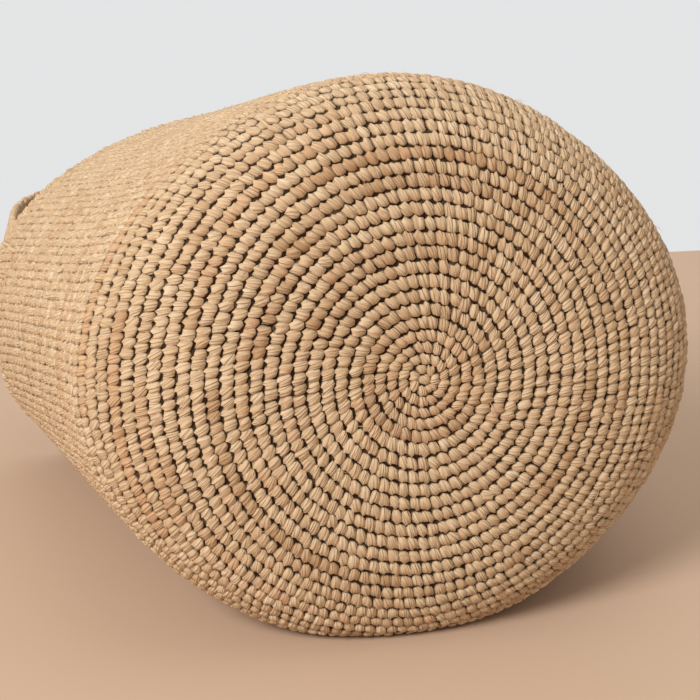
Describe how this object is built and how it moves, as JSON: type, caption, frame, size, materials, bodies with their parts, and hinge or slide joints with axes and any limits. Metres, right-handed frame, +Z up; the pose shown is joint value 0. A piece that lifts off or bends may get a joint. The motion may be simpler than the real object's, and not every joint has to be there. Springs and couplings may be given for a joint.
{
  "type": "bucket_bag",
  "caption": "Crocheted raffia bucket bag lying on its side: domed round base, flared slack wall, flattened open mouth with worked edging, and a shoulder strap that swings over the mouth.",
  "frame": {"origin": "Middle of the flat underside, where the bag lies on the floor, midway along its wall.", "axes": "+X to the bag's right when its base is seen from the front, +Y from the base towards the mouth and strap, +Z up."},
  "size_m": [0.3458, 0.4737, 0.2396],
  "materials": {
    "raffia_body": "matte natural raffia in single crochet",
    "raffia_trim": "matte natural raffia, worked edging and lashings"
  },
  "bodies": {
    "bag": {"base_panel": "raffia_body", "side_wall": "raffia_body", "rim_edging": "raffia_trim", "strap_end_left": "raffia_body", "strap_end_right": "raffia_body", "lashing_left_1": "raffia_trim", "lashing_left_2": "raffia_trim", "lashing_left_3": "raffia_trim", "lashing_left_4": "raffia_trim", "lashing_right_1": "raffia_trim", "lashing_right_2": "raffia_trim", "lashing_right_3": "raffia_trim", "lashing_right_4": "raffia_trim"},
    "strap": {"strap": "raffia_body"}
  },
  "joints": [
    {"name": "strap_swing", "type": "hinge", "parent": "bag", "child": "strap", "pos_m": [0, 0.13764, 0.11989], "axis": [1, 0, 0], "range_deg": [-81, 78]}
  ]
}
